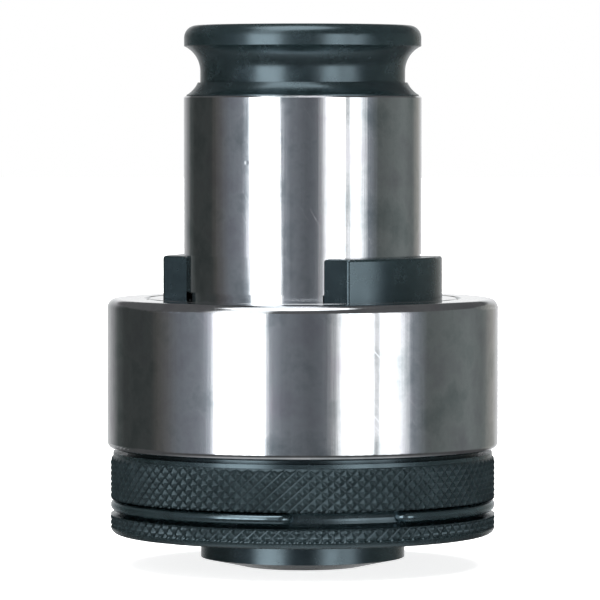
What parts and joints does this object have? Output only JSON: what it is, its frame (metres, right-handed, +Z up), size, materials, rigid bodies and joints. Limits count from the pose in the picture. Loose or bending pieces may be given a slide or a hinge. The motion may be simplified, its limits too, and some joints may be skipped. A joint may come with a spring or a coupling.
{
  "type": "quick-change tapping adapter with overload clutch",
  "caption": "Quick-change tapping adapter: ground shank with drive lugs and retention groove, clutch head with knurled torque nut, and a nose that takes a square-driven tap.",
  "frame": {"origin": "centre of the nose's bottom face, on the spindle axis", "axes": "+Z up along the spindle axis from the nose to the release collar; the seen side faces -Y"},
  "size_m": [0.051, 0.051, 0.0704],
  "materials": {
    "ground_steel": "ground",
    "black_oxide": "black oxide, satin",
    "hardened_steel": "polished, hardened",
    "spring_steel": "oil tempered",
    "wire_steel": "blackened spring wire",
    "bronze": "turned",
    "seal_rubber": "matt"
  },
  "bodies": {
    "shank": {"shank_body": "ground_steel", "drive_lug_front": "black_oxide", "drive_lug_rear": "black_oxide", "lug_dowel_pins": "hardened_steel", "end_ring": "black_oxide", "spindle_bush": "bronze"},
    "driven": {"clutch_housing": "ground_steel", "anti_rotation_pins": "hardened_steel", "lip_bearing_balls": "hardened_steel", "tap_spindle": "black_oxide", "spindle_thrust_washer": "bronze", "spring_seat": "spring_steel", "collar_snap_ring": "spring_steel", "release_spring": "spring_steel"},
    "pressure": {"pressure_ring": "hardened_steel", "clutch_balls": "hardened_steel"},
    "washer": {"thrust_washer": "hardened_steel", "disc_springs": "spring_steel"},
    "nut": {"adjusting_nut": "black_oxide", "lock_wire": "wire_steel", "nose_seal": "seal_rubber"},
    "collar": {"release_collar": "black_oxide"},
    "ball_1": {"locking_ball_1": "hardened_steel"},
    "ball_2": {"locking_ball_2": "hardened_steel"},
    "ball_3": {"locking_ball_3": "hardened_steel"}
  },
  "joints": [
    {"name": "clutch_slip", "type": "hinge", "parent": "shank", "child": "driven", "pos_m": [0, 0, 0.03], "axis": [0, 0, 1], "continuous": true},
    {"name": "clutch_lift", "type": "slide", "parent": "driven", "child": "pressure", "axis": [0, 0, -1], "range_m": [0, 0.001], "stiffness_N_per_m": 2000, "springref_m": -0.001, "deforming": ["disc_springs"]},
    {"name": "nut_travel", "type": "slide", "parent": "driven", "child": "washer", "axis": [0, 0, 1], "range_m": [-0.0015, 0]},
    {"name": "nut_turn", "type": "hinge", "parent": "washer", "child": "nut", "pos_m": [0, 0, 0.01], "axis": [0, 0, 1], "range_deg": [-360, 0]},
    {"name": "collar_push", "type": "slide", "parent": "driven", "child": "collar", "axis": [0, 0, -1], "range_m": [0, 0.002], "stiffness_N_per_m": 3000, "springref_m": -0.001, "deforming": ["release_spring"]},
    {"name": "ball_1_slide", "type": "slide", "parent": "driven", "child": "ball_1", "axis": [1, 0, 0], "range_m": [0, 0.0005]},
    {"name": "ball_2_slide", "type": "slide", "parent": "driven", "child": "ball_2", "axis": [-0.5, 0.866, 0], "range_m": [0, 0.0005]},
    {"name": "ball_3_slide", "type": "slide", "parent": "driven", "child": "ball_3", "axis": [-0.5, -0.866, 0], "range_m": [0, 0.0005]}
  ],
  "couplings": [
    {"joint": "nut_travel", "follows": "nut_turn", "m_per_rad": 0.00023873},
    {"joint": "ball_1_slide", "follows": "collar_push", "ratio": 0.25},
    {"joint": "ball_2_slide", "follows": "collar_push", "ratio": 0.25},
    {"joint": "ball_3_slide", "follows": "collar_push", "ratio": 0.25}
  ]
}
